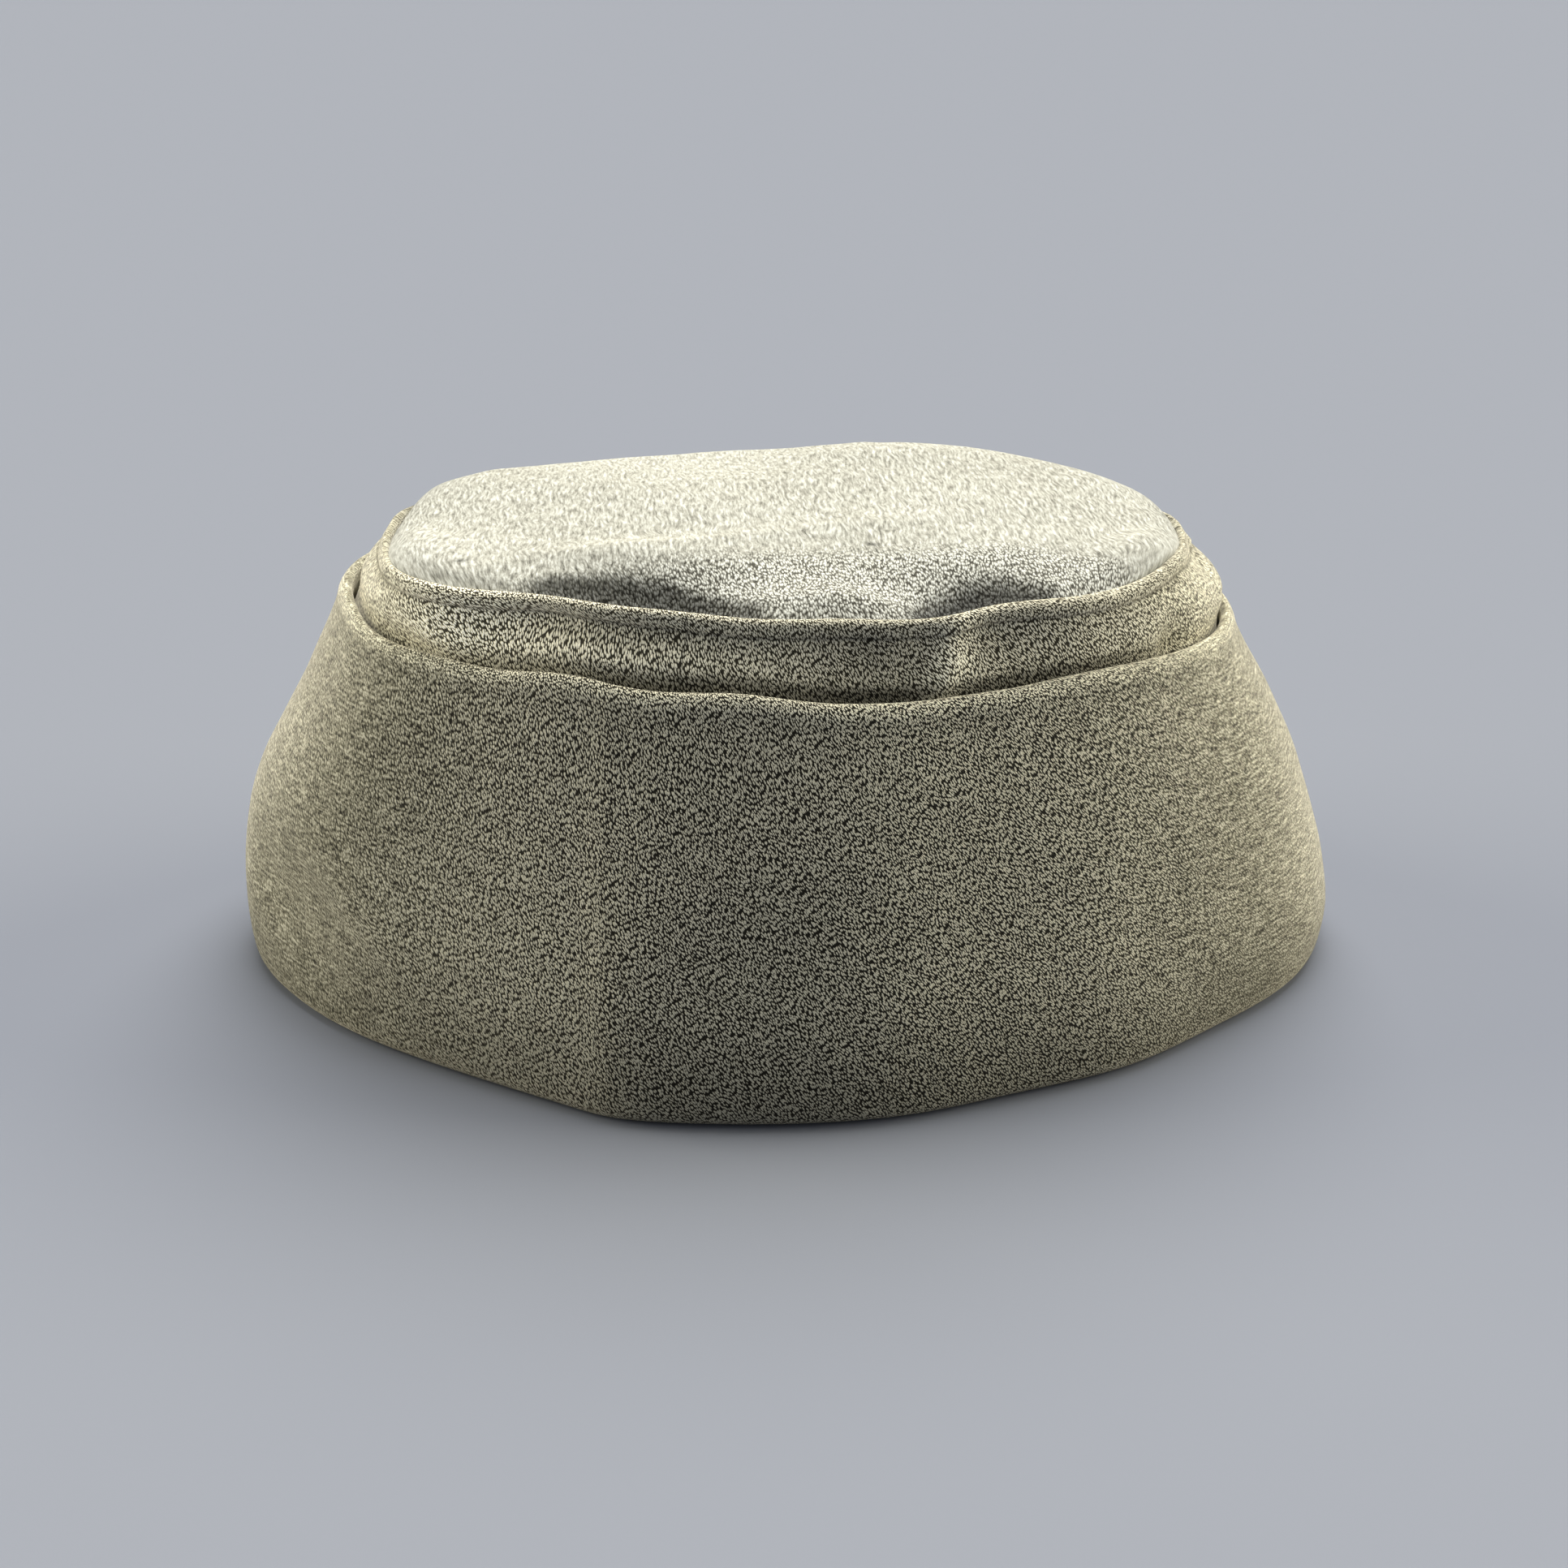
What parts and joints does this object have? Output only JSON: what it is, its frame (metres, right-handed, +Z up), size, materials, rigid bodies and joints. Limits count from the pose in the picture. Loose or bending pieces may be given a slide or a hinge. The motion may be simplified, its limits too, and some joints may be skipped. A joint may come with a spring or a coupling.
{
  "type": "field cap",
  "caption": "Soft brimless field cap in salt-and-pepper wool cloth, with a deep turned-up cuff, a narrow side wall and a dished oval crown panel.",
  "frame": {"origin": "bottom centre: the middle of the cap's length and width, on the surface that its rim rests on", "axes": "+X along the cap's length, +Y from the long side shown in the picture towards the far side, +Z up from the rim to the crown"},
  "size_m": [0.2244, 0.1672, 0.0942],
  "materials": {
    "crown cloth": "soft napped melange wool",
    "wall cloth": "soft napped melange wool",
    "cuff cloth": "soft napped melange wool"
  },
  "bodies": {
    "root": {"crown_top": "crown cloth", "side_wall": "wall cloth", "cuff": "cuff cloth"}
  },
  "joints": []
}
